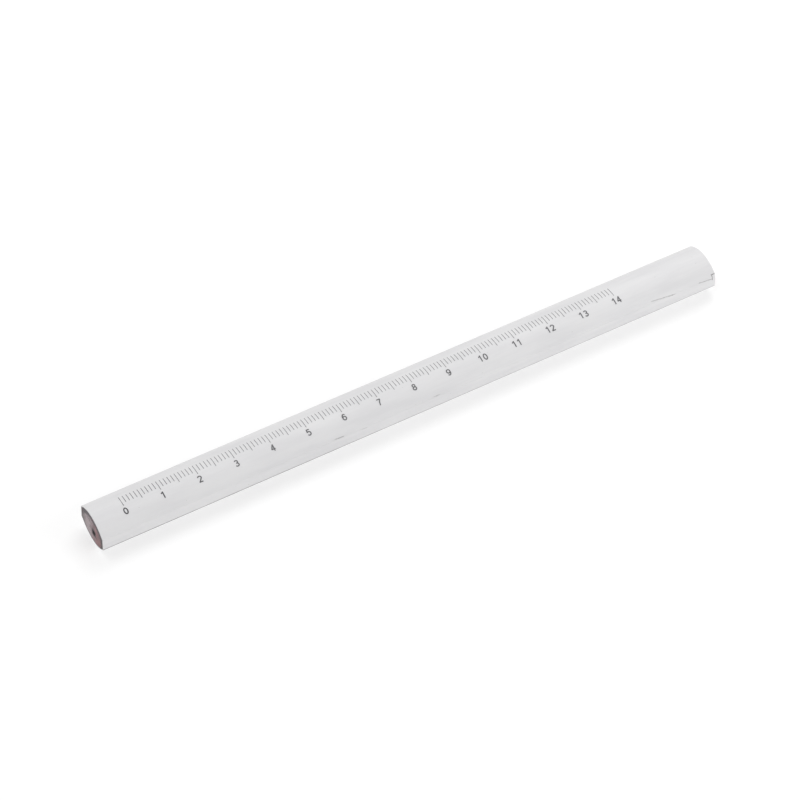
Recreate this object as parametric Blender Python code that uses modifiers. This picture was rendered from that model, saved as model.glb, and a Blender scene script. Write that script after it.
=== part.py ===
"""A flat carpenter's pencil, unsharpened, with a 0 to 14 cm scale printed along its top.

Frame: metres, +Z up. X runs along the pencil with the scale reading towards +X, -Y is the side
that the numerals face, and the origin is on the resting surface under the middle of the pencil.
Two grooved wood slats are glued around a graphite lead, lacquered white and printed in black.
"""

import math

import bmesh
import bpy
from mathutils import Vector

MM = 0.001

# Whole pencil
LENGTH = 177.2 * MM
WIDTH = 12.5 * MM
THICKNESS = 8.8 * MM
SIDE_FLAT = 3.5 * MM            # height of each side flat, measured between the sharp arrises
ARRIS_RADIUS = 0.5 * MM

# Skins and films
LACQUER = 0.15 * MM
GLUE = 0.08 * MM
INK = 0.02 * MM
CLEARANCE = 0.02 * MM           # kept between neighbouring solids
INK_CLEARANCE = 0.01 * MM

# Lead, which lies off the middle of the section, as in many cheap pencils
LEAD_WIDTH = 1.6 * MM
LEAD_HEIGHT = 1.3 * MM
LEAD_CORNER = 0.35 * MM
LEAD_Y = -0.9 * MM
LEAD_Z = THICKNESS / 2 - 0.85 * MM

# Printed scale. Distances across the top are arc lengths from its crown, positive towards -Y
SCALE_LENGTH = 140
SCALE_STEP = 5
ZERO_MARGIN = 8.65 * MM         # from the end of the pencil to the zero line
LINE_WIDTH = 0.12 * MM
LINE_FAR = -2.2 * MM
LINE_NEAR = 0.9 * MM
NUMERAL_FAR = 1.52 * MM
NUMERAL_HEIGHT = 1.85 * MM
NUMERAL_STRETCH = 1.12          # widens the figures
NUMERAL_STROKE = 0.28 * MM
NUMERAL_PITCH = 1.45 * MM       # between the middles of the two figures of a number
NUMERAL_SHORT = 0.16 * MM       # how far the numbers stand short of the middle of their lines
WRAP_STEP = 0.5 * MM            # longest flat stretch of a figure across the curved top

# Facets
ARC_FACETS = 25                 # odd, so that a flat facet lies under the middle
CORNER_FACETS = 3
FIGURE_FACETS = 20              # in a full turn of a figure's stroke

# The section: two arcs bowed outwards and joined by the side flats
HALF_WIDTH = WIDTH / 2
CROWN_RISE = (THICKNESS - SIDE_FLAT) / 2
CROWN_RADIUS = (HALF_WIDTH ** 2 + CROWN_RISE ** 2) / (2 * CROWN_RISE)
MIDDLE_Z = THICKNESS / 2
CROWN_CENTRE = THICKNESS - CROWN_RADIUS

COLLECTION = "carpenter_pencil"
CUTTERS = "cutters"

# Figures as strokes on a centre line 1 high: corner points, or arcs as
# (centre x, centre y, radius x, radius y, from, to) in degrees
FIGURES = {
    "0": [[("arc", 0.0, 0.5, 0.25, 0.5, 0, 360)]],
    "1": [[(0.08, -0.08), (0.08, 1.08)],
          [(-0.2, 0.76), (0.06, 0.97)]],
    "2": [[("arc", 0.0, 0.74, 0.25, 0.26, 165, -35), (-0.21, 0.01)],
          [(-0.29, 0.0), (0.28, 0.0)]],
    "3": [[("arc", 0.0, 0.76, 0.21, 0.24, 155, -90), (-0.07, 0.52)],
          [("arc", 0.0, 0.26, 0.25, 0.26, 90, -155)]],
    "4": [[(0.12, -0.08), (0.12, 1.08)],
          [(0.09, 1.0), (-0.25, 0.28)],
          [(-0.32, 0.26), (0.31, 0.26)]],
    "5": [[(0.23, 1.0), (-0.17, 1.0), (-0.21, 0.5)],
          [("arc", 0.0, 0.32, 0.25, 0.32, 140, -150)]],
    "6": [[("arc", 0.0, 0.31, 0.25, 0.31, 0, 360)],
          [("arc", 0.02, 0.5, 0.27, 0.5, 45, 180), (-0.25, 0.31)]],
    "7": [[(-0.28, 1.0), (0.28, 1.0)],
          [(0.24, 0.98), (0.02, 0.5), (-0.08, -0.08)]],
    "8": [[("arc", 0.0, 0.76, 0.2, 0.24, 0, 360)],
          [("arc", 0.0, 0.26, 0.25, 0.26, 0, 360)]],
    "9": [[("arc", 0.0, 0.69, 0.25, 0.31, 0, 360)],
          [("arc", -0.02, 0.5, 0.27, 0.5, -135, 0), (0.25, 0.69)]],
}


def clear_scene():
    for obj in list(bpy.data.objects):
        bpy.data.objects.remove(obj, do_unlink=True)


def new_collection(name):
    collection = bpy.data.collections.new(name)
    bpy.context.scene.collection.children.link(collection)
    return collection


def new_material(name, color, roughness):
    material = bpy.data.materials.new(name)
    material.use_nodes = True
    shader = material.node_tree.nodes["Principled BSDF"]
    shader.inputs["Base Color"].default_value = (*color, 1.0)
    shader.inputs["Roughness"].default_value = roughness
    shader.inputs["Metallic"].default_value = 0.0
    return material


def add_object(name, mesh, collection, material=None):
    obj = bpy.data.objects.new(name, mesh)
    collection.objects.link(obj)
    if material:
        mesh.materials.clear()
        mesh.materials.append(material)
    return obj


def as_cutter(obj):
    obj.hide_render = True
    obj.display_type = "WIRE"
    return obj


def to_mesh(obj, weld=1e-7):
    """Turn an object with its modifiers into one plain mesh, and remove the object."""
    bpy.context.view_layer.update()
    graph = bpy.context.evaluated_depsgraph_get()
    mesh = bpy.data.meshes.new_from_object(obj.evaluated_get(graph))
    mesh.transform(obj.matrix_world)
    body = bmesh.new()
    body.from_mesh(mesh)
    bmesh.ops.remove_doubles(body, verts=body.verts, dist=weld)
    bmesh.ops.recalc_face_normals(body, faces=body.faces)
    body.to_mesh(mesh)
    body.free()
    bpy.data.objects.remove(obj, do_unlink=True)
    return mesh


def shade_round(mesh):
    mesh.shade_smooth()
    mesh.set_sharp_from_angle(angle=math.radians(30))


def prism(name, outlines, x_middle, length):
    """Extrude closed outlines, given as (y, z), along X. An outline inside another is a hole."""
    curve = bpy.data.curves.new(name, "CURVE")
    curve.dimensions = "2D"
    curve.fill_mode = "BOTH"
    curve.extrude = length / 2
    for outline in outlines:
        spline = curve.splines.new("POLY")
        spline.points.add(len(outline) - 1)
        spline.use_cyclic_u = True
        for point, (y, z) in zip(spline.points, outline):
            point.co = (y, z, 0.0, 1.0)
    obj = bpy.data.objects.new(name, curve)
    obj.location = (x_middle, 0.0, 0.0)
    obj.rotation_euler = (math.pi / 2, 0.0, math.pi / 2)
    bpy.context.scene.collection.objects.link(obj)
    return to_mesh(obj)


def box(size):
    mesh = bpy.data.meshes.new("box")
    body = bmesh.new()
    bmesh.ops.create_cube(body, size=1.0)
    bmesh.ops.scale(body, vec=Vector(size), verts=body.verts)
    body.to_mesh(mesh)
    body.free()
    return mesh


def arc_points(centre, radii, start, end, facets):
    """Points along an arc from one angle to another, both ends included."""
    points = []
    for step in range(facets + 1):
        angle = start + (end - start) * step / facets
        points.append((centre[0] + radii[0] * math.cos(angle), centre[1] + radii[1] * math.sin(angle)))
    return points


def section_outline(inset):
    """The pencil's section, or one parallel to it and smaller all round by the inset."""
    corner_y = HALF_WIDTH - ARRIS_RADIUS
    corner_z = CROWN_CENTRE + math.sqrt((CROWN_RADIUS - ARRIS_RADIUS) ** 2 - corner_y ** 2)
    corner_angle = math.atan2(corner_z - CROWN_CENTRE, corner_y)
    corner_radius = ARRIS_RADIUS - inset
    crown_radius = CROWN_RADIUS - inset
    corner = arc_points((corner_y, corner_z), (corner_radius, corner_radius),
                        0.0, corner_angle, CORNER_FACETS)
    crown = arc_points((0.0, CROWN_CENTRE), (crown_radius, crown_radius),
                       corner_angle, math.pi - corner_angle, ARC_FACETS)
    upper = corner + crown[1:-1] + [(-y, z) for y, z in reversed(corner)]
    lower = [(-y, 2 * MIDDLE_Z - z) for y, z in upper]
    return upper + lower


def rounded_rectangle(centre, width, height, radius):
    outline = []
    for turn, (side_y, side_z) in enumerate([(1, 1), (-1, 1), (-1, -1), (1, -1)]):
        middle = (centre[0] + side_y * (width / 2 - radius), centre[1] + side_z * (height / 2 - radius))
        start = turn * math.pi / 2
        outline += arc_points(middle, (radius, radius), start, start + math.pi / 2, CORNER_FACETS)
    return outline


def cut(obj, cutter):
    modifier = obj.modifiers.new("cut_" + cutter.name, "BOOLEAN")
    modifier.operation = "DIFFERENCE"
    modifier.solver = "EXACT"
    modifier.object = cutter


def make_slats(parts, cutters, material):
    """Upper and lower slat: the bare wood section, parted at the lead's middle and grooved for it."""
    groove = prism("lead_groove", [rounded_rectangle((LEAD_Y, LEAD_Z), LEAD_WIDTH + 2 * CLEARANCE,
                                                     LEAD_HEIGHT + 2 * CLEARANCE, LEAD_CORNER + CLEARANCE)],
                   0.0, 1.1 * LENGTH)
    groove_cutter = as_cutter(add_object("lead_groove", groove, cutters))
    half_joint = GLUE / 2 + CLEARANCE
    for name, side in (("upper_slat", 1), ("lower_slat", -1)):
        blank = add_object(name, prism(name, [section_outline(LACQUER + CLEARANCE)], 0.0, LENGTH), parts)
        waste = as_cutter(add_object(name + "_waste", box((1.1 * LENGTH, 1.1 * WIDTH, THICKNESS)), cutters))
        waste.location = (0.0, 0.0, LEAD_Z + side * (half_joint - THICKNESS / 2))
        cut(blank, waste)
        cut(blank, groove_cutter)
        slat = to_mesh(blank)
        shade_round(slat)
        add_object(name, slat, parts, material)


def make_lead(parts, material):
    outline = rounded_rectangle((LEAD_Y, LEAD_Z), LEAD_WIDTH, LEAD_HEIGHT, LEAD_CORNER)
    mesh = prism("graphite_lead", [outline], 0.0, LENGTH)
    shade_round(mesh)
    add_object("graphite_lead", mesh, parts, material)


def make_glue_films(parts, material):
    """The glue line between the slats, on either side of the lead."""
    wood_edge = HALF_WIDTH - LACQUER - CLEARANCE
    for name, side in (("glue_film_near", -1), ("glue_film_far", 1)):
        lead_edge = LEAD_Y + side * (LEAD_WIDTH / 2 + CLEARANCE)
        edges = sorted((lead_edge, side * wood_edge))
        outline = [(edges[0], LEAD_Z - GLUE / 2), (edges[1], LEAD_Z - GLUE / 2),
                   (edges[1], LEAD_Z + GLUE / 2), (edges[0], LEAD_Z + GLUE / 2)]
        add_object(name, prism(name, [outline], 0.0, LENGTH), parts, material)


def make_lacquer(parts, material):
    """The white coat: a thin sleeve, open at both cut ends."""
    mesh = prism("lacquer_coat", [section_outline(0.0), section_outline(LACQUER)], 0.0, LENGTH)
    shade_round(mesh)
    add_object("lacquer_coat", mesh, parts, material)


def scale_x(reading_mm):
    return -LENGTH / 2 + ZERO_MARGIN + reading_mm * MM


def crown_point(across, height):
    """The (y, z) of a point at an arc length across the top and a height over the lacquer."""
    angle = across / CROWN_RADIUS
    radius = CROWN_RADIUS + INK_CLEARANCE + height
    return -radius * math.sin(angle), CROWN_CENTRE + radius * math.cos(angle)


def make_lines(parts, material):
    """The centimetre and half-centimetre lines of the scale, each a strip bent over the top."""
    facets = math.ceil((LINE_NEAR - LINE_FAR) / WRAP_STEP)
    across = [LINE_FAR + (LINE_NEAR - LINE_FAR) * step / facets for step in range(facets + 1)]
    outline = [crown_point(u, 0.0) for u in across] + [crown_point(u, INK) for u in reversed(across)]
    for reading in range(0, SCALE_LENGTH + 1, SCALE_STEP):
        name = f"scale_line_{reading:03d}_mm"
        add_object(name, prism(name, [outline], scale_x(reading), LINE_WIDTH), parts, material)


def stroke_points(pieces):
    """A stroke's centre line: its corner points as given, and its arcs as points along them."""
    points = []
    for piece in pieces:
        if piece[0] != "arc":
            points.append(piece)
            continue
        _, x, y, radius_x, radius_y, start, end = piece
        facets = math.ceil(abs(end - start) / 360 * FIGURE_FACETS)
        points += arc_points((x, y), (radius_x, radius_y), math.radians(start), math.radians(end), facets)
    closed = math.dist(points[0], points[-1]) < 1e-6
    return (points[:-1], True) if closed else (points, False)


def stroke_object(name, pieces):
    """One stroke of a figure, flat: a ribbon standing on its centre line, thickened by Solidify."""
    points, closed = stroke_points(pieces)
    curve = bpy.data.curves.new(name, "CURVE")
    curve.dimensions = "2D"
    curve.fill_mode = "NONE"
    curve.extrude = INK / 2
    spline = curve.splines.new("POLY")
    spline.points.add(len(points) - 1)
    spline.use_cyclic_u = closed
    line_height = NUMERAL_HEIGHT - NUMERAL_STROKE
    for point, (x, y) in zip(spline.points, points):
        point.co = (x * line_height * NUMERAL_STRETCH, y * line_height, 0.0, 1.0)
    ribbon = bpy.data.objects.new(name, curve)
    bpy.context.scene.collection.objects.link(ribbon)
    stroke = add_object(name, to_mesh(ribbon), bpy.context.scene.collection)
    solidify = stroke.modifiers.new("stroke_width", "SOLIDIFY")
    solidify.thickness = NUMERAL_STROKE
    solidify.offset = 0.0
    solidify.use_even_offset = True
    return add_object(name, to_mesh(stroke), bpy.context.scene.collection)


def figure_mesh(figure):
    """A figure, flat and centred on its own width, with its strokes joined into one body."""
    strokes = [stroke_object(f"stroke_{number}", pieces) for number, pieces in enumerate(FIGURES[figure])]
    whole = strokes[0]
    for stroke in strokes[1:]:
        union = whole.modifiers.new("join", "BOOLEAN")
        union.operation = "UNION"
        union.solver = "EXACT"
        union.object = stroke
    mesh = to_mesh(whole)
    for stroke in strokes[1:]:
        bpy.data.objects.remove(stroke, do_unlink=True)
    return mesh


def wrap_on_crown(mesh, x_middle):
    """Bend a flat figure over the top of the pencil, its foot towards -Y."""
    body = bmesh.new()
    body.from_mesh(mesh)
    for step in range(1, math.ceil(NUMERAL_HEIGHT / WRAP_STEP)):
        level = step * WRAP_STEP - NUMERAL_STROKE / 2
        geometry = body.verts[:] + body.edges[:] + body.faces[:]
        bmesh.ops.bisect_plane(body, geom=geometry, dist=1e-8,
                               plane_co=Vector((0.0, level, 0.0)), plane_no=Vector((0.0, 1.0, 0.0)))
    foot = NUMERAL_FAR + NUMERAL_HEIGHT - NUMERAL_STROKE / 2
    for vertex in body.verts:
        x, up, height = vertex.co
        y, z = crown_point(foot - up, height + INK / 2)
        vertex.co = (x_middle + x, y, z)
    bmesh.ops.triangulate(body, faces=body.faces)
    bmesh.ops.recalc_face_normals(body, faces=body.faces)
    bent = bpy.data.meshes.new(mesh.name)
    body.to_mesh(bent)
    body.free()
    return bent


def make_numerals(parts, material):
    """The numbers 0 to 14 below their centimetre lines, each figure a node of its own."""
    flat = {figure: figure_mesh(figure) for figure in FIGURES}
    for number in range(SCALE_LENGTH // 10 + 1):
        figures = str(number)
        middle = scale_x(10 * number) - NUMERAL_SHORT
        first = middle - NUMERAL_PITCH * (len(figures) - 1) / 2
        for place, figure in enumerate(figures):
            name = f"numeral_{number:02d}" + ("" if len(figures) == 1 else ("_tens", "_units")[place])
            add_object(name, wrap_on_crown(flat[figure], first + place * NUMERAL_PITCH), parts, material)
    for mesh in flat.values():
        bpy.data.meshes.remove(mesh)


def main():
    clear_scene()
    parts = new_collection(COLLECTION)
    cutters = new_collection(CUTTERS)
    wood = new_material("bare_wood", (0.42, 0.27, 0.24), 0.75)
    graphite = new_material("graphite", (0.035, 0.03, 0.033), 0.45)
    glue = new_material("wood_glue", (0.5, 0.4, 0.28), 0.5)
    lacquer = new_material("white_lacquer", (0.83, 0.83, 0.84), 0.35)
    ink = new_material("black_ink", (0.06, 0.06, 0.065), 0.5)
    make_slats(parts, cutters, wood)
    make_lead(parts, graphite)
    make_glue_films(parts, glue)
    make_lacquer(parts, lacquer)
    make_lines(parts, ink)
    make_numerals(parts, ink)


main()
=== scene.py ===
"""Looks of the carpenter's pencil: lacquer, sawn wood ends, lead, glue line and printed scale.

Everything is in metres, in the frame of the CAD model. X runs along the pencil, the scale counts up
towards +X, and -Y is the side that the numerals face. "Across" is the arc length around the section
from the crown of the top, positive towards -Y.
"""
import math

import bmesh
import bpy
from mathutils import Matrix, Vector, noise


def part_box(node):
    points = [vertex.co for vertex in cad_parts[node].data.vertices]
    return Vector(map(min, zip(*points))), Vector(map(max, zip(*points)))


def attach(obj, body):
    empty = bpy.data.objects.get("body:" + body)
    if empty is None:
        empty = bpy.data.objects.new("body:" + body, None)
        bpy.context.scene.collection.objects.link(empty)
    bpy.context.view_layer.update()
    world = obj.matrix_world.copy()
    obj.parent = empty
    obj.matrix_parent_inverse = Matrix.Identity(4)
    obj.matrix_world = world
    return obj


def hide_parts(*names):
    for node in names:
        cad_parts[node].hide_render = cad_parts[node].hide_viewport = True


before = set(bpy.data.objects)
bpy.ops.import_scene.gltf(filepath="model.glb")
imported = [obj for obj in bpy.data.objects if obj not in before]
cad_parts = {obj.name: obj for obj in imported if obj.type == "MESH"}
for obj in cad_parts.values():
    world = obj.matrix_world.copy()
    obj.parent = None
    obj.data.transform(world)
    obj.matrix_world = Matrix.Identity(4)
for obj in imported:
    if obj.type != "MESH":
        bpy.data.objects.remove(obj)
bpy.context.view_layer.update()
BODY = "root"
MM = 0.001
TINY = 1e-7

# Sizes that the frame gives
_, COAT_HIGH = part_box("lacquer_coat")
HALF_LENGTH = COAT_HIGH.x
HALF_WIDTH = COAT_HIGH.y
THICKNESS = COAT_HIGH.z
LEAD_LOW, LEAD_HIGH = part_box("graphite_lead")
GLUE_LOW, GLUE_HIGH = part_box("glue_film_far")
LINE_LOW, LINE_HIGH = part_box("scale_line_000_mm")
ZERO_X = (LINE_LOW.x + LINE_HIGH.x) / 2
LINE_WIDTH = LINE_HIGH.x - LINE_LOW.x

# Sizes of the section, as the CAD model has them
SIDE_FLAT = 3.5 * MM
ARRIS_RADIUS = 0.5 * MM
LEAD_CORNER = 0.35 * MM
LACQUER = 0.15 * MM
INK = 0.02 * MM
INK_LIFT = 0.01 * MM

# The section, worked out: an arc over the crown, a rounded arris and a flat side, four times over
MIDDLE_Z = THICKNESS / 2
CROWN_RISE = (THICKNESS - SIDE_FLAT) / 2
CROWN_RADIUS = (HALF_WIDTH ** 2 + CROWN_RISE ** 2) / (2 * CROWN_RISE)
CROWN_CENTRE = THICKNESS - CROWN_RADIUS
CORNER_Y = HALF_WIDTH - ARRIS_RADIUS
CORNER_Z = CROWN_CENTRE + math.sqrt((CROWN_RADIUS - ARRIS_RADIUS) ** 2 - CORNER_Y ** 2)
CORNER_TURN = math.atan2(CORNER_Y, CORNER_Z - CROWN_CENTRE)
CROWN_ARC = CROWN_RADIUS * CORNER_TURN
CORNER_ARC = ARRIS_RADIUS * (math.pi / 2 - CORNER_TURN)
QUARTER = CROWN_ARC + CORNER_ARC + CORNER_Z - MIDDLE_Z

# The printed scale, in millimetres of reading, and where its short lines start and end across
LAST_READING = 140
LONG_EVERY = 5
LINE_FAR = -2.2 * MM
SHORT_LINE_NEAR = 0.2 * MM

# How finely the meshes are divided: the lacquer in columns around the section and in rings along it, the
# sawn ends in squares
FINE_COLUMN = 0.045 * MM        # across the worn arris
ARRIS_COLUMN = 0.08 * MM
COLUMN = 0.28 * MM
WORN_REACH = 1.0 * MM           # how far from the worn arris the finest columns go
ARRIS_REACH = 0.5 * MM
END_RING = 0.1 * MM
WORN_RING = 0.22 * MM
RING = 1.0 * MM
END_RINGS_REACH = 1.6 * MM      # how far from the ends the close rings go
END_GRID = 0.18 * MM
OUTLINE_POINTS = 150            # around a slat
CORNER_FACETS = 6               # around each corner of the lead
LINE_STEPS = 10                 # along a millimetre line
SHARP_ANGLE = math.radians(35)  # edges that turn more than this stay sharp

# Unevenness of the dried lacquer, by height of its waves
HOLLOW = 0.006 * MM
WAVE = 0.005 * MM
RIPPLE = 0.0016 * MM

# Wear on the near upper arris: (reading of the scale in mm, length, offset from the arris where it
# starts, how much further it is off at its end, depth from 0 to 1)
SCUFFS = [
    (54.7, 3.4, -0.25, 0.1, 1.0),
    (62.3, 2.4, 0.15, 0.1, 0.45),
    (82.9, 2.6, -0.3, 0.1, 0.7),
    (143.4, 0.9, 0.1, 0.1, 0.6),
    (145.6, 0.7, 0.0, 0.1, 0.6),
    (148.0, 7.6, -0.65, 0.75, 0.7),
    (153.7, 2.3, 0.0, 0.1, 1.0),
    (162.6, 5.0, -0.1, 0.55, 1.0),
]
SCUFF_WIDTH = 0.27 * MM
SCUFF_DEPTH = 0.05 * MM
SCUFF_WANDER = 0.07 * MM
SCUFF_TAIL = 0.8                # millimetres over which a scuff starts and ends
SCUFF_MARGIN = 0.4              # millimetres beside a scuff that also get close rings
CHIP_ACROSS = CROWN_ARC + 0.2 * MM
CHIP_WIDTH = 1.6 * MM
CHIP_LOSS = 0.12 * MM           # how far the cut edge has broken back
CRACK_BACK = 1.15 * MM          # from the end to the crack behind the chip
CRACK_WANDER = 0.12 * MM
# The crack's black middle is painted shade.
CRACK_CORE = 0.06 * MM          # half the width of its black middle
CRACK_REACH = 0.14 * MM         # half its whole width

# Painted shade on the lower arrises: a dark line that stands for the shade in the gap under the pencil's
# lower edges
ARRIS_SHADE_CORE = 0.16 * MM
ARRIS_SHADE_REACH = 0.34 * MM

# How the wood stands back inside the lacquer at the sawn ends, and the marks of the saw
LIP = 0.26 * MM                 # thickness of the coat's cut edge, where the dips have built up
WOOD_END = HALF_LENGTH - 0.03 * MM   # where the wood, the lead and the glue end before they are sawn
WOOD_GAP = 0.01 * MM            # between the lip and the wood, and between the wood and the lead
GLUE_GAP = 0.02 * MM            # between the lip and the glue line
SAW_MARK = 0.03 * MM
SAW_WAVE = 0.115 * MM           # distance between the saw's ridges, over 2 pi
SAW_SLANT = 0.28

# The lacquer's cut edge, from the outside over the lip and in: (distance from the end, depth)
RIM = [(0.08 * MM, 0.0), (0.04 * MM, 0.008 * MM), (0.012 * MM, 0.03 * MM), (0.0, 0.07 * MM),
       (0.0, 0.18 * MM), (0.03 * MM, LIP), (0.9 * MM, LIP), (1.5 * MM, LACQUER)]
FOLLOW_REACH = 1.2 * MM         # how far from the end the rings follow what has broken off the edge

# How quickly the dark rim of the sawn wood fades inwards: from the belly, and from the crown by end of the
# pencil. The lower, the wider the rim.
# The rim is partly stain of the sawn edge and partly painted shade under the lacquer's lip, widest under the
# crown.
BELLY_FADE = 2.0
CROWN_FADES = {-1.0: 0.3, 1.0: 0.8}

# How far the saw cuts are out of square, by end of the pencil: (set-back per metre of width towards +Y,
# set-back per metre of height). The last few millimetres of each piece take it up.
CUT_LEANS = {-1.0: (0.016, 0.045), 1.0: (-0.024, 0.0)}
LEAN_REACH = 6.0 * MM

# Camera and light
CAMERA_AZIMUTH = math.radians(-29.97)
CAMERA_ELEVATION = math.radians(48.23)
CAMERA_DISTANCE = 0.7016
CAMERA_TARGET = Vector((-3.53 * MM, -1.235 * MM, MIDDLE_Z))
CAMERA_LENS = 126.11
CAMERA_SENSOR = 36.0

# name: (azimuth and elevation in degrees, distance, width, height, power)
LIGHTS = {
    "back_right_softbox": (140, 40, 0.9, 0.7, 0.7, 3.9),
    "overhead_back_softbox": (-135, 63, 1.1, 0.8, 0.8, 3.8),
    "front_fill": (0, 36, 0.9, 0.7, 0.5, 1.1),
    "front_right_fill": (50, 20, 0.9, 0.7, 0.5, 3.7),
    "left_fill": (-95, 14, 0.9, 0.6, 0.4, 1.2),
}
WORLD_STRENGTH = 0.35
FLOOR_GLOW = 0.475
FLOOR_HALF_SIZE = 3.0
LIGHTS_TARGET = Vector((0.0, 0.0, 0.0))

# Colours
WHITE = (0.702, 0.698, 0.705)
WHITE_SMUDGED = (0.657, 0.653, 0.664)
WHITE_STREAKED = (0.64, 0.64, 0.65)
SPECK = (0.35, 0.34, 0.33)
# Painted shade along the lower arrises
PAINTED_ARRIS_SHADE = (0.2, 0.195, 0.19)
# Grey of the scuffs, also painted shade in the crack behind the chip
SCUFFED_AND_CRACK_SHADE = (0.16, 0.15, 0.15)
WOOD_FAR = (0.43, 0.375, 0.395)
WOOD_NEAR = (0.31, 0.17, 0.18)
WOOD_RING = (0.22, 0.15, 0.15)
WOOD_PORE = (0.16, 0.1, 0.1)
WOOD_STAIN = (0.15, 0.125, 0.13)
LEAD_SMEAR = (0.08, 0.07, 0.075)
# Dark tips and rim of the sawn ends: partly stain, partly painted shade under the lacquer's lip
FAR_TIP_STAIN_AND_SHADE = (0.13, 0.13, 0.125)
NEAR_TIP_STAIN_AND_SHADE = (0.09, 0.087, 0.09)
RIM_STAIN_AND_SHADE = ((0.12, 0.092, 0.1), (0.094, 0.1, 0.101))
LEAD_TONES = ((0.007, 0.004, 0.005), (0.018, 0.012, 0.014))
GLUE_TONES = ((0.2, 0.14, 0.1), (0.32, 0.24, 0.17))
INK_TONES = ((0.03, 0.03, 0.035), (0.11, 0.11, 0.12))
INK_FADED = (0.3, 0.3, 0.31)
FLOOR_TONES = ((0.53, 0.53, 0.53), (0.55, 0.55, 0.55))


# ---------------------------------------------------------------- section and lacquer

def around(across):
    """The (y, z) and outward normal (ny, nz) of the section at a signed arc length from the crown."""
    side = -1.0 if across > 0 else 1.0
    reach = abs(across)
    below = reach > QUARTER
    if below:
        reach = 2 * QUARTER - reach
    if reach <= CROWN_ARC:
        turn = reach / CROWN_RADIUS
        y = CROWN_RADIUS * math.sin(turn)
        z = CROWN_CENTRE + CROWN_RADIUS * math.cos(turn)
    elif reach <= CROWN_ARC + CORNER_ARC:
        turn = CORNER_TURN + (reach - CROWN_ARC) / ARRIS_RADIUS
        y = CORNER_Y + ARRIS_RADIUS * math.sin(turn)
        z = CORNER_Z + ARRIS_RADIUS * math.cos(turn)
    else:
        turn = math.pi / 2
        y = HALF_WIDTH
        z = CORNER_Z - (reach - CROWN_ARC - CORNER_ARC)
    ny, nz = math.sin(turn), math.cos(turn)
    if below:
        z, nz = 2 * MIDDLE_Z - z, -nz
    return side * y, z, side * ny, nz


def smooth_step(low, high, value):
    """From 0 at low to 1 at high, level at both."""
    share = min(max((value - low) / (high - low), 0.0), 1.0)
    return share * share * (3 - 2 * share)


def across_places():
    """Arc lengths of the lacquer's columns, close together on the arrises, closest on the worn one."""
    places = []
    across = -2 * QUARTER
    while across < 2 * QUARTER - TINY:
        places.append(across)
        reach = abs(across)
        folded = min(reach, 2 * QUARTER - reach)
        near_arris = abs(folded - CROWN_ARC - CORNER_ARC / 2)
        if abs(across - CROWN_ARC - CORNER_ARC / 2) < WORN_REACH:
            across += FINE_COLUMN
        elif near_arris < ARRIS_REACH:
            across += ARRIS_COLUMN
        else:
            across += COLUMN
    return places


def along_places():
    """Places along X of the lacquer's rings, close together at the ends and beside each scuff."""
    places = []
    x = -HALF_LENGTH + RIM[0][0]
    while x < HALF_LENGTH - RIM[0][0] - END_RING / 2:
        places.append(x)
        from_end = HALF_LENGTH - abs(x)
        reading = (x - ZERO_X) / MM
        past_scuffs = [max(start - reading, reading - start - length) for start, length, _, _, _ in SCUFFS]
        if from_end < END_RINGS_REACH:
            x += END_RING
        elif min(past_scuffs) < SCUFF_MARGIN:
            x += WORN_RING
        else:
            x += RING
    places.append(HALF_LENGTH - RIM[0][0])
    return places


def coat_hollow(x, across):
    """How far the dried lacquer lies under its nominal surface: long soft waves from dipping."""
    wave = noise.noise(Vector((x / (14 * MM), across / (3.5 * MM), 0.0)))
    ripple = noise.noise(Vector((x / (2.2 * MM), across / (0.9 * MM), 4.0)))
    return HOLLOW + WAVE * wave + RIPPLE * ripple


def scuff_and_crack_shade_amount(x, across):
    """From 0 to 1, how much the lacquer is scratched here, and the crack behind the chip, whose dark colour
    is painted shade.
    """
    reading = (x - ZERO_X) / MM
    worst = 0.0
    for number, (start, length, offset, drift, depth) in enumerate(SCUFFS):
        if not start <= reading <= start + length:
            continue
        wander = SCUFF_WANDER * noise.noise(Vector((reading / 1.3, number * 7.0, 0.0)))
        off_arris = (offset + drift * (reading - start) / length) * MM
        middle = CROWN_ARC + CORNER_ARC / 2 + off_arris + wander
        ends = smooth_step(0.0, SCUFF_TAIL, min(reading - start, start + length - reading))
        breaks = 0.65 + 0.6 * noise.noise(Vector((reading / 0.5, number * 3.0, 9.0)))
        width = SCUFF_WIDTH / 2 * (0.7 + 0.5 * ends)
        profile = 1.0 - smooth_step(0.35 * width, width, abs(across - middle))
        worst = max(worst, depth * ends * profile * min(max(breaks, 0.0), 1.0))
    return max(worst, crack_amount(x, across))


def crack_amount(x, across):
    """From 0 to 1, the crack around the loose flake at the end: behind it and along its upper side. Its dark
    colour is painted shade in the crack.
    """
    wander = CRACK_WANDER * noise.noise(Vector((across / (0.4 * MM), 5.0, x / (0.4 * MM))))
    past_back = CRACK_BACK + wander - (HALF_LENGTH - x)
    past_top = across - CHIP_ACROSS + CHIP_WIDTH / 2 + wander
    if past_back < -CRACK_REACH or past_top < -CRACK_REACH or past_top > CHIP_WIDTH:
        return 0.0
    return 1.0 - smooth_step(CRACK_CORE, CRACK_REACH, min(abs(past_back), abs(past_top)))


def arris_shade_amount(x, across):
    """From 0 to 1, the painted shade on the lower arrises: a dark line for the shade under the pencil's
    edges, strongest near the zero end, where less light reaches.
    """
    reading = (x - ZERO_X) / MM
    off_arris = abs(abs(across) - (2 * QUARTER - CROWN_ARC - CORNER_ARC / 2))
    line = 1.0 - smooth_step(ARRIS_SHADE_CORE, ARRIS_SHADE_REACH, off_arris)
    fade = 1.0 - 0.6 * smooth_step(20.0, 130.0, reading)
    patchy = 0.85 + 0.5 * noise.noise(Vector((reading / 4.0, math.copysign(20.0, across), 0.0)))
    return line * fade * min(max(patchy, 0.0), 1.0)


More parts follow.
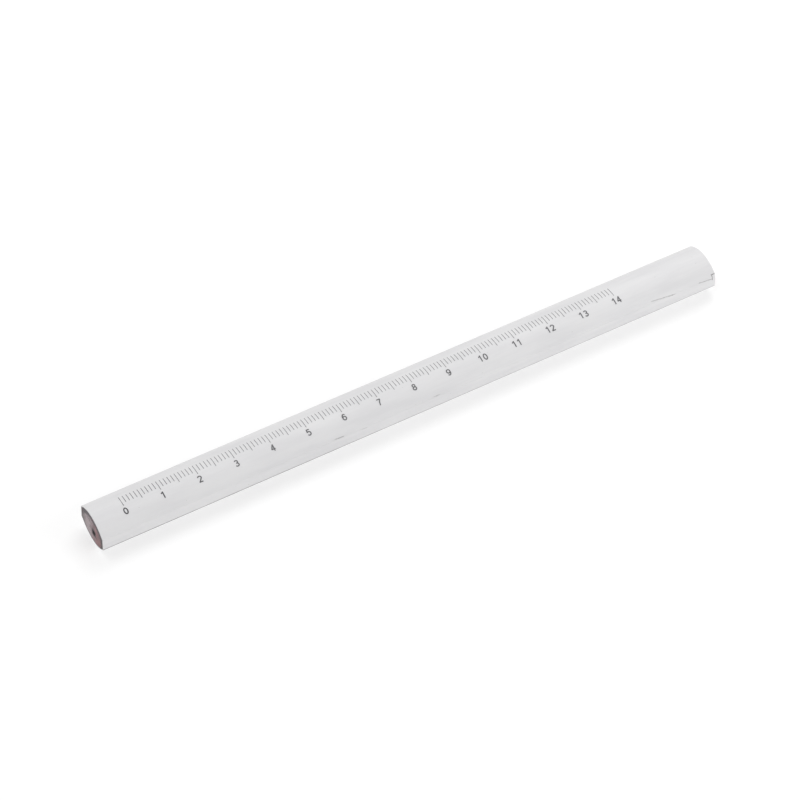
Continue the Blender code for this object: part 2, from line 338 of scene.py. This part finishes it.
def rim_loss(side, across):
    """How much of the lacquer's cut edge has broken away, in metres along X."""
    grain = noise.noise(Vector((across / (0.35 * MM), side * 5.0, 1.0)))
    nick = max(noise.noise(Vector((across / (1.1 * MM), side * 9.0, 7.0))) - 0.45, 0.0)
    loss = (0.018 + 0.014 * grain + 0.35 * nick) * MM
    if side > 0:
        distance = abs(across - CHIP_ACROSS) / (CHIP_WIDTH / 2)
        ragged = 1.0 + 0.25 * noise.noise(Vector((across / (0.16 * MM), 2.0, 3.0)))
        loss += CHIP_LOSS * ragged * (1.0 - smooth_step(0.45, 1.0, distance))
    return loss


def coat_rows():
    """Every ring of the lacquer as (x, depth under the skin, how much it follows the rim's losses, side)."""
    rows = []
    for x in along_places():
        from_end = HALF_LENGTH - abs(x)
        rows.append((x, 0.0, 1.0 - smooth_step(0.0, FOLLOW_REACH, from_end), math.copysign(1.0, x)))
    rows += [(HALF_LENGTH - back, depth, 1.0, 1.0) for back, depth in RIM[1:]]
    rows += [(-HALF_LENGTH + back, depth, 1.0, -1.0) for back, depth in reversed(RIM[1:])]
    return rows


def lean_cuts(body):
    """Put the two saw cuts out of square, keeping every point inside the pencil's length."""
    section = [around(across) for across in across_places()]
    for side, (by_width, by_height) in CUT_LEANS.items():
        least = min(by_width * y + by_height * z for y, z, _, _ in section)
        for vertex in body.verts:
            reach = 1 - (HALF_LENGTH - side * vertex.co.x) / LEAN_REACH
            if reach > 0:
                set_back = by_width * vertex.co.y + by_height * vertex.co.z - least
                vertex.co.x -= side * reach * set_back


def object_from(name, body):
    """A mesh object in the scene, made from a bmesh, which is used up."""
    mesh = bpy.data.meshes.new(name)
    body.to_mesh(mesh)
    body.free()
    obj = bpy.data.objects.new(name, mesh)
    bpy.context.scene.collection.objects.link(obj)
    return obj


def new_piece(name, body, material):
    """A piece of the pencil from a bmesh, smooth but for its sharp edges, riding on the pencil's body."""
    lean_cuts(body)
    bmesh.ops.recalc_face_normals(body, faces=body.faces)
    piece = object_from(name, body)
    piece.data.shade_smooth()
    piece.data.set_sharp_from_angle(angle=SHARP_ANGLE)
    piece.data.materials.append(material)
    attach(piece, BODY)
    return piece


def make_lacquer(material):
    """The white coat as one closed sleeve: outside, over the cut edge, inside and back."""
    columns = across_places()
    skin = [around(across) for across in columns]
    body = bmesh.new()
    # Layers for the scuffs' wear with the crack's painted shade, and for the painted shade of the lower
    # arrises
    wear_and_crack_shade = body.verts.layers.float.new("wear_and_crack_shade")
    painted_arris_shade = body.verts.layers.float.new("painted_arris_shade")
    losses = {side: [rim_loss(side, across) for across in columns] for side in (-1.0, 1.0)}
    rows = []
    for x, depth, follow, side in coat_rows():
        row = []
        for place, across in enumerate(columns):
            y, z, ny, nz = skin[place]
            loss = losses[side][place] * follow
            scuff_and_crack = scuff_and_crack_shade_amount(x, across) if depth == 0.0 else 0.0
            inset = depth + scuff_and_crack * SCUFF_DEPTH
            if depth < LACQUER:
                inset += coat_hollow(x, across) * (1.0 - depth / LACQUER)
            vertex = body.verts.new((x - side * loss, y - ny * inset, z - nz * inset))
            # wear of the scuffs together with the crack's painted shade, for the material
            vertex[wear_and_crack_shade] = scuff_and_crack
            # painted shade of the lower arrises, for the material
            vertex[painted_arris_shade] = arris_shade_amount(x, across)
            row.append(vertex)
        rows.append(row)
    for here, row in enumerate(rows):
        following = rows[(here + 1) % len(rows)]
        for place in range(len(columns)):
            beside = (place + 1) % len(columns)
            body.faces.new((row[place], following[place], following[beside], row[beside]))
    piece = new_piece("lacquer", body, material)
    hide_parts("lacquer_coat")


# ---------------------------------------------------------------- wood, lead and glue

def inner_outline(inset, low, high):
    """The section smaller by the inset, cut to the heights between low and high."""
    points = []
    for step in range(OUTLINE_POINTS):
        y, z, ny, nz = around(-2 * QUARTER + 4 * QUARTER * step / OUTLINE_POINTS)
        points.append((y - ny * inset, z - nz * inset))
    return clip(clip(points, low, 1), high, -1)


def clip(points, level, keep):
    """The part of a closed outline above the level (keep 1) or below it (keep -1)."""
    kept = []
    for here, (y, z) in enumerate(points):
        next_y, next_z = points[(here + 1) % len(points)]
        if keep * (z - level) >= 0:
            kept.append((y, z))
        if (z - level) * (next_z - level) < 0:
            share = (level - z) / (next_z - z)
            kept.append((y + share * (next_y - y), level))
    return kept


def rounded_box(low, high, grow, radius):
    """A closed outline around the box from low to high, grown all round, with rounded corners."""
    outline = []
    radius += grow
    for turn, (side_y, side_z) in enumerate([(1, 1), (-1, 1), (-1, -1), (1, -1)]):
        y = (high.y + grow - radius) if side_y > 0 else (low.y - grow + radius)
        z = (high.z + grow - radius) if side_z > 0 else (low.z - grow + radius)
        for step in range(CORNER_FACETS + 1):
            angle = (turn + step / CORNER_FACETS) * math.pi / 2
            outline.append((y + radius * math.cos(angle), z + radius * math.sin(angle)))
    return outline


def prism(outline, half_length):
    """A closed body with this (y, z) outline, from -half_length to half_length along X."""
    body = bmesh.new()
    start = [body.verts.new((-half_length, y, z)) for y, z in outline]
    end = [body.verts.new((half_length, y, z)) for y, z in outline]
    body.faces.new(start)
    body.faces.new(list(reversed(end)))
    for here in range(len(outline)):
        beside = (here + 1) % len(outline)
        body.faces.new((start[here], end[here], end[beside], start[beside]))
    return body


def grid_ends(body, spacing):
    """Divide the two end faces into small squares, so that they can carry a sawn surface."""
    ys = [vertex.co.y for vertex in body.verts]
    zs = [vertex.co.z for vertex in body.verts]
    cuts = [(Vector((0, 1, 0)), min(ys), max(ys)), (Vector((0, 0, 1)), min(zs), max(zs))]
    for direction, low, high in cuts:
        steps = max(int((high - low) / spacing), 1)
        for step in range(1, steps):
            level = low + (high - low) * step / steps
            geometry = body.verts[:] + body.edges[:] + body.faces[:]
            bmesh.ops.bisect_plane(body, geom=geometry, dist=TINY,
                                   plane_co=direction * level, plane_no=direction)


def sawn(y, z, side):
    """Depth of the saw's marks on an end: slanted ridges, uneven in height, and torn fibres."""
    stroke = y * SAW_SLANT + z
    uneven = noise.noise(Vector((y / (2 * MM), z / (2 * MM), side)))
    ridges = math.sin(stroke / SAW_WAVE + 1.5 * uneven)
    torn = noise.noise(Vector((y / (0.35 * MM), z / (0.35 * MM), side * 3.0)))
    chatter = noise.noise(Vector((y / (1.8 * MM), z / (1.1 * MM), side * 8.0)))
    return (0.22 * ridges + 0.45 * torn + 0.5 * chatter) * SAW_MARK


def mark_edge(body):
    """Store at each point how far it lies inside the wood's outline, for the dark rim at the sawn ends,
    which is partly stain and partly painted shade under the lacquer's lip.
    """
    edge = body.verts.layers.float.new("edge")
    for vertex in body.verts:
        y, z = vertex.co.y, vertex.co.z
        under_crown = CROWN_RADIUS - math.hypot(y, z - CROWN_CENTRE)
        over_belly = CROWN_RADIUS - math.hypot(y, THICKNESS - z - CROWN_CENTRE)
        from_crown = (under_crown - LIP) * CROWN_FADES[math.copysign(1.0, vertex.co.x)]
        from_belly = (over_belly - LIP) * BELLY_FADE
        vertex[edge] = min(from_crown, from_belly, HALF_WIDTH - abs(y) - LIP) / MM


def saw_ends(body, strength=1.0):
    """Press the saw's marks into the two end faces."""
    for vertex in body.verts:
        if abs(vertex.co.x) > WOOD_END - TINY:
            side = math.copysign(1.0, vertex.co.x)
            vertex.co.x -= side * strength * (SAW_MARK + sawn(vertex.co.y, vertex.co.z, side))


def cut_groove(slat, groove):
    """Take the lead's groove out of a slat."""
    cutter = object_from("groove", groove)
    blank = object_from("blank", slat)
    modifier = blank.modifiers.new("groove", "BOOLEAN")
    modifier.operation = "DIFFERENCE"
    modifier.solver = "EXACT"
    modifier.object = cutter
    bpy.context.view_layer.update()
    evaluated = blank.evaluated_get(bpy.context.evaluated_depsgraph_get())
    cut_mesh = bpy.data.meshes.new_from_object(evaluated)
    for obj in (blank, cutter):
        bpy.data.objects.remove(obj, do_unlink=True)
    body = bmesh.new()
    body.from_mesh(cut_mesh)
    return body


def make_slats(material):
    """The upper and the lower half of the wood, with their sawn ends."""
    past_ends = 1.1 * WOOD_END
    for name, low, high in (("upper_slat", GLUE_HIGH.z, THICKNESS), ("lower_slat", 0.0, GLUE_LOW.z)):
        slat = prism(inner_outline(LIP + WOOD_GAP, low, high), WOOD_END)
        groove = prism(rounded_box(LEAD_LOW, LEAD_HIGH, WOOD_GAP, LEAD_CORNER), past_ends)
        body = cut_groove(slat, groove)
        grid_ends(body, END_GRID)
        mark_edge(body)
        saw_ends(body)
        piece = new_piece(name + "_wood", body, material)
        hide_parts(name)


def make_lead(material):
    """The graphite lead, sawn through with the wood."""
    body = prism(rounded_box(LEAD_LOW, LEAD_HIGH, 0.0, LEAD_CORNER), WOOD_END)
    grid_ends(body, END_GRID)
    saw_ends(body, 0.6)
    piece = new_piece("lead", body, material)
    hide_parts("graphite_lead")


def make_glue(material):
    """The glue line on either side of the lead."""
    for name in ("glue_film_near", "glue_film_far"):
        low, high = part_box(name)
        inside_lip = HALF_WIDTH - LIP - GLUE_GAP
        near, far = max(low.y, -inside_lip), min(high.y, inside_lip)
        outline = [(near, low.z), (far, low.z), (far, high.z), (near, high.z)]
        body = prism(outline, WOOD_END)
        grid_ends(body, END_GRID)
        saw_ends(body)
        piece = new_piece(name.replace("film", "line"), body, material)
        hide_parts(name)


# ---------------------------------------------------------------- printed scale

def add_line(body, x):
    """One printed millimetre line: a thin slab bent over the crown, its edges a little uneven."""
    rows = []
    for step in range(LINE_STEPS + 1):
        across = LINE_FAR + (SHORT_LINE_NEAR - LINE_FAR) * step / LINE_STEPS
        y, z, ny, nz = around(across)
        swell = 1.0 + 0.12 * noise.noise(Vector((x / (0.7 * MM), across / (0.3 * MM), 2.0)))
        half = LINE_WIDTH / 2 * swell * (0.8 if step in (0, LINE_STEPS) else 1.0)
        corners = [(-half, INK_LIFT), (half, INK_LIFT), (half, INK_LIFT + INK), (-half, INK_LIFT + INK)]
        rows.append([body.verts.new((x + dx, y + ny * up, z + nz * up)) for dx, up in corners])
    for here in range(LINE_STEPS):
        for corner in range(4):
            beside = (corner + 1) % 4
            body.faces.new((rows[here][corner], rows[here][beside],
                            rows[here + 1][beside], rows[here + 1][corner]))
    body.faces.new(rows[0])
    body.faces.new(list(reversed(rows[-1])))


def make_millimetre_lines(material):
    """The 112 short lines; the longer ones, at every 5 mm, are CAD nodes."""
    body = bmesh.new()
    for reading in range(LAST_READING):
        if reading % LONG_EVERY:
            add_line(body, ZERO_X + reading * MM)
    new_piece("millimetre_lines", body, material)


def paint_print(material):
    """Give the CAD model's long lines and numerals the ink."""
    for name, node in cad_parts.items():
        if name.startswith(("scale_line", "numeral")):
            node.data.materials.clear()
            node.data.materials.append(material)


# ---------------------------------------------------------------- materials

class Nodes:
    """A material's node tree, with short calls for the nodes used here."""

    def __init__(self, name):
        self.material = bpy.data.materials.new(name)
        self.material.use_nodes = True
        self.tree = self.material.node_tree
        self.shader = self.tree.nodes["Principled BSDF"]

    def add(self, kind, **inputs):
        """A new node with these inputs."""
        node = self.tree.nodes.new(kind)
        for key, value in inputs.items():
            self.set(node, key, value)
        return node

    def set(self, node, key, value):
        """Link a socket to this input or give it a value. The key is its name or, as i0, its number."""
        socket = node.inputs[int(key[1:])] if key[0] == "i" and key[1:].isdigit() else node.inputs[key]
        if isinstance(value, bpy.types.NodeSocket):
            self.tree.links.new(value, socket)
        else:
            socket.default_value = value

    def place(self, scale):
        """Position on the object in millimetres, times the scale."""
        coordinates = self.add("ShaderNodeTexCoord").outputs["Object"]
        mapping = self.add("ShaderNodeMapping", Vector=coordinates)
        mapping.inputs["Scale"].default_value = [value / MM for value in scale]
        return mapping.outputs["Vector"]

    def noise(self, scale, detail=2.0, roughness=0.5):
        """Noise with this many patches per millimetre along each axis."""
        node = self.add("ShaderNodeTexNoise", Vector=self.place(scale), Scale=1.0, Detail=detail)
        node.inputs["Roughness"].default_value = roughness
        return node.outputs["Fac"]

    def attribute(self, name):
        """A value that the mesh carries at its points."""
        node = self.tree.nodes.new("ShaderNodeAttribute")
        node.attribute_name = name
        return node.outputs["Fac"]

    def math(self, operation, first, second=0.0, clamp=False):
        """The result of an operation on one or two values, held between 0 and 1 if clamped."""
        node = self.add("ShaderNodeMath", i0=first, i1=second)
        node.operation = operation
        node.use_clamp = clamp
        return node.outputs["Value"]

    def ramp(self, value, low, high, to_low=0.0, to_high=1.0):
        """Map the value's stretch from low to high smoothly onto another."""
        node = self.tree.nodes.new("ShaderNodeMapRange")
        node.interpolation_type = "SMOOTHSTEP"
        for key, number in (("Value", value), ("From Min", low), ("From Max", high),
                            ("To Min", to_low), ("To Max", to_high)):
            self.set(node, key, number)
        return node.outputs["Result"]

    def mix(self, share, first, second):
        """Blend two colours, each a socket or three numbers, by the share of the second."""
        node = self.tree.nodes.new("ShaderNodeMix")
        node.data_type = "RGBA"
        self.set(node, "i0", share)
        for key, color in (("i6", first), ("i7", second)):
            self.set(node, key, color if isinstance(color, bpy.types.NodeSocket) else (*color, 1.0))
        return node.outputs[2]

    def bump(self, height, distance):
        """Raise the shader's surface by up to the distance where the height is 1."""
        node = self.add("ShaderNodeBump", Height=height, Distance=distance, Strength=1.0)
        self.set(self.shader, "Normal", node.outputs["Normal"])

    def color(self, value):
        self.set(self.shader, "Base Color", value)


def lacquer_material():
    """White lacquer: soft gloss, faint dipping streaks and smudges, grey where it is scuffed, and painted
    shade in the crack behind the chip and along the lower arrises.
    """
    nodes = Nodes("lacquer_white")
    smudge = nodes.noise((0.045, 0.25, 0.25), 4.0, 0.6)
    streaks = nodes.noise((0.02, 2.4, 2.4), 3.0)
    speck = nodes.noise((2.6, 2.6, 2.6), 1.0)
    clean = nodes.mix(nodes.ramp(smudge, 0.35, 0.7), WHITE, WHITE_SMUDGED)
    streaked = nodes.mix(nodes.ramp(streaks, 0.5, 0.75, 0.0, 0.25), clean, WHITE_STREAKED)
    specked = nodes.mix(nodes.ramp(speck, 0.8, 0.83), streaked, SPECK)
    wear_and_crack_shade = nodes.attribute("wear_and_crack_shade")
    torn = nodes.ramp(nodes.noise((3.0, 5.0, 5.0), 2.0), 0.3, 0.6, 0.55, 1.0)
    # painted shade: a dark line along the lower arrises
    arris_shaded = nodes.mix(nodes.attribute("painted_arris_shade"), specked, PAINTED_ARRIS_SHADE)
    # the scuffs' grey, and painted shade in the crack behind the chip
    nodes.color(nodes.mix(nodes.math("MULTIPLY", wear_and_crack_shade, torn, True), arris_shaded, SCUFFED_AND_CRACK_SHADE))
    polish = nodes.ramp(nodes.noise((0.12, 0.9, 0.9), 3.0), 0.3, 0.7, 0.48, 0.58)
    nodes.set(nodes.shader, "Roughness", nodes.math("ADD", polish, nodes.math("MULTIPLY", wear_and_crack_shade, 0.3), True))
    nodes.shader.inputs["Specular IOR Level"].default_value = 0.4
    peel = nodes.noise((0.7, 1.6, 1.6), 2.0)
    nodes.bump(peel, 0.004 * MM)
    return nodes.material


def wood_material():
    """Sawn end grain: pinkish grey, redder on the near side, with rings, pores and stains, and a dark rim
    and dark tips that are partly stain and partly painted shade.
    """
    nodes = Nodes("wood_end_grain")
    position = nodes.add("ShaderNodeSeparateXYZ", Vector=nodes.place((1.0, 1.0, 1.0)))
    y, z = position.outputs["Y"], position.outputs["Z"]
    patches = nodes.math("MULTIPLY", nodes.noise((0.1, 0.45, 0.45), 3.0), 4.0)
    redness = nodes.ramp(nodes.math("SUBTRACT", y, patches), -5.0, -0.5, 1.0, 0.0)
    base = nodes.mix(redness, WOOD_FAR, WOOD_NEAR)
    bend = nodes.math("MULTIPLY", nodes.noise((0.02, 0.35, 0.35), 2.0), 9.0)
    ring_wave = nodes.math("SINE", nodes.math("ADD", nodes.math("MULTIPLY", z, 7.0), bend))
    ringed = nodes.mix(nodes.ramp(ring_wave, -0.2, 1.0, 0.0, 0.4), base, WOOD_RING)
    pores = nodes.noise((0.8, 11.0, 11.0), 2.0, 0.6)
    pored = nodes.mix(nodes.ramp(pores, 0.56, 0.68, 0.0, 0.7), ringed, WOOD_PORE)
    stains = nodes.noise((0.2, 0.75, 0.75), 3.0, 0.6)
    stained = nodes.mix(nodes.ramp(stains, 0.5, 0.62, 0.0, 0.55), pored, WOOD_STAIN)
    off_y = nodes.math("SUBTRACT", y, (LEAD_LOW.y + LEAD_HIGH.y) / 2 / MM)
    off_z = nodes.math("SUBTRACT", z, (LEAD_LOW.z + LEAD_HIGH.z) / 2 / MM)
    squares = nodes.math("ADD", nodes.math("POWER", off_y, 2.0), nodes.math("POWER", off_z, 2.0))
    from_lead = nodes.math("SQRT", squares)
    rubbed = nodes.math("ADD", from_lead, nodes.noise((0.5, 1.2, 1.2), 3.0))
    smeared = nodes.mix(nodes.ramp(rubbed, 1.4, 2.4, 0.9, 0.0), stained, LEAD_SMEAR)
    # dark tips: partly stain, partly painted shade
    far_tip = nodes.mix(nodes.ramp(y, 3.0, 5.2, 0.0, 0.6), smeared, FAR_TIP_STAIN_AND_SHADE)
    tipped = nodes.mix(nodes.ramp(y, -5.6, -3.8, 1.0, 0.0), far_tip, NEAR_TIP_STAIN_AND_SHADE)
    ragged = nodes.math("MULTIPLY", nodes.noise((0.5, 1.6, 1.6), 3.0), 0.5)
    # dark rim along the outline, widest under the crown: partly stain, partly painted shade under the
    # lacquer's lip
    rim = nodes.ramp(nodes.math("SUBTRACT", nodes.attribute("edge"), ragged), 0.0, 0.4, 0.9, 0.0)
    rim_stain_and_shade = nodes.mix(nodes.ramp(stains, 0.35, 0.65), *RIM_STAIN_AND_SHADE)
    nodes.color(nodes.mix(rim, tipped, rim_stain_and_shade))
    nodes.shader.inputs["Roughness"].default_value = 0.85
    nodes.bump(nodes.noise((2.0, 14.0, 14.0), 3.0, 0.7), 0.03 * MM)
    return nodes.material


def graphite_material():
    """Dull, almost black lead with a fine grain."""
    nodes = Nodes("graphite_lead")
    grain = nodes.noise((1.0, 9.0, 9.0), 4.0, 0.7)
    nodes.color(nodes.mix(nodes.ramp(grain, 0.35, 0.7), *LEAD_TONES))
    nodes.shader.inputs["Specular IOR Level"].default_value = 0.1
    nodes.set(nodes.shader, "Roughness", nodes.ramp(grain, 0.3, 0.7, 0.55, 0.75))
    nodes.bump(grain, 0.01 * MM)
    return nodes.material


def glue_material():
    """Dried wood glue, light brown."""
    nodes = Nodes("wood_glue_line")
    tone = nodes.noise((0.5, 3.0, 3.0), 3.0)
    nodes.color(nodes.mix(tone, *GLUE_TONES))
    nodes.shader.inputs["Roughness"].default_value = 0.55
    nodes.bump(tone, 0.01 * MM)
    return nodes.material


def ink_material():
    """Stamped black ink: dark grey, thinner in places and away from the zero end."""
    nodes = Nodes("ink_print")
    thin = nodes.noise((4.0, 4.0, 4.0), 3.0, 0.65)
    inked = nodes.mix(nodes.ramp(thin, 0.45, 0.75), *INK_TONES)
    position = nodes.add("ShaderNodeSeparateXYZ", Vector=nodes.place((1.0, 1.0, 1.0)))
    fading = nodes.ramp(position.outputs["X"], (ZERO_X + 9 * MM) / MM, (ZERO_X + 25 * MM) / MM, 0.0, 0.3)
    nodes.color(nodes.mix(fading, inked, INK_FADED))
    nodes.set(nodes.shader, "Roughness", nodes.ramp(thin, 0.3, 0.7, 0.4, 0.55))
    nodes.bump(thin, 0.002 * MM)
    return nodes.material


def floor_material():
    """White paper that glows a little, so that it stays white around the soft shadow."""
    nodes = Nodes("floor_white")
    nodes.color(nodes.mix(nodes.noise((0.002, 0.002, 0.002), 2.0), *FLOOR_TONES))
    nodes.shader.inputs["Roughness"].default_value = 0.9
    nodes.shader.inputs["Specular IOR Level"].default_value = 0.1
    nodes.shader.inputs["Emission Color"].default_value = (1.0, 1.0, 1.0, 1.0)
    nodes.shader.inputs["Emission Strength"].default_value = FLOOR_GLOW
    return nodes.material


# ---------------------------------------------------------------- stage

def make_floor():
    """The white ground under the pencil."""
    body = bmesh.new()
    bmesh.ops.create_grid(body, x_segments=1, y_segments=1, size=FLOOR_HALF_SIZE)
    floor = object_from("floor", body)
    floor.data.materials.append(floor_material())


def back_direction(azimuth, elevation):
    """Unit vector from the object towards a camera or light at this bearing. Azimuth 0 is at -Y."""
    flat = math.cos(elevation)
    return Vector((math.sin(azimuth) * flat, -math.cos(azimuth) * flat, math.sin(elevation)))


def aim(obj, azimuth, elevation, distance, target):
    """Put a camera or light at this bearing and distance from the target, facing it."""
    back = back_direction(azimuth, elevation)
    obj.location = target + back * distance
    obj.rotation_euler = (-back).to_track_quat("-Z", "Y").to_euler()


def make_camera():
    """A long lens, looking down at the zero end from the left."""
    data = bpy.data.cameras.new("camera")
    data.lens = CAMERA_LENS
    data.sensor_width = CAMERA_SENSOR
    data.clip_start = 0.01
    camera = bpy.data.objects.new("camera", data)
    bpy.context.scene.collection.objects.link(camera)
    aim(camera, CAMERA_AZIMUTH, CAMERA_ELEVATION, CAMERA_DISTANCE, CAMERA_TARGET)
    bpy.context.scene.camera = camera


def make_lights():
    """The soft boxes, the even light from all around and the plain tone curve."""
    for name, (azimuth, elevation, distance, width, height, power) in LIGHTS.items():
        data = bpy.data.lights.new(name, "AREA")
        data.shape = "RECTANGLE"
        data.size = width
        data.size_y = height
        data.energy = power
        light = bpy.data.objects.new(name, data)
        bpy.context.scene.collection.objects.link(light)
        aim(light, math.radians(azimuth), math.radians(elevation), distance, LIGHTS_TARGET)
    world = bpy.data.worlds.new("studio")
    world.use_nodes = True
    background = world.node_tree.nodes["Background"]
    background.inputs["Color"].default_value = (1.0, 1.0, 1.0, 1.0)
    background.inputs["Strength"].default_value = WORLD_STRENGTH
    bpy.context.scene.world = world
    bpy.context.scene.view_settings.view_transform = "Standard"


make_camera()
make_lights()
make_floor()
make_lacquer(lacquer_material())
make_slats(wood_material())
make_lead(graphite_material())
make_glue(glue_material())
ink = ink_material()
paint_print(ink)
make_millimetre_lines(ink)
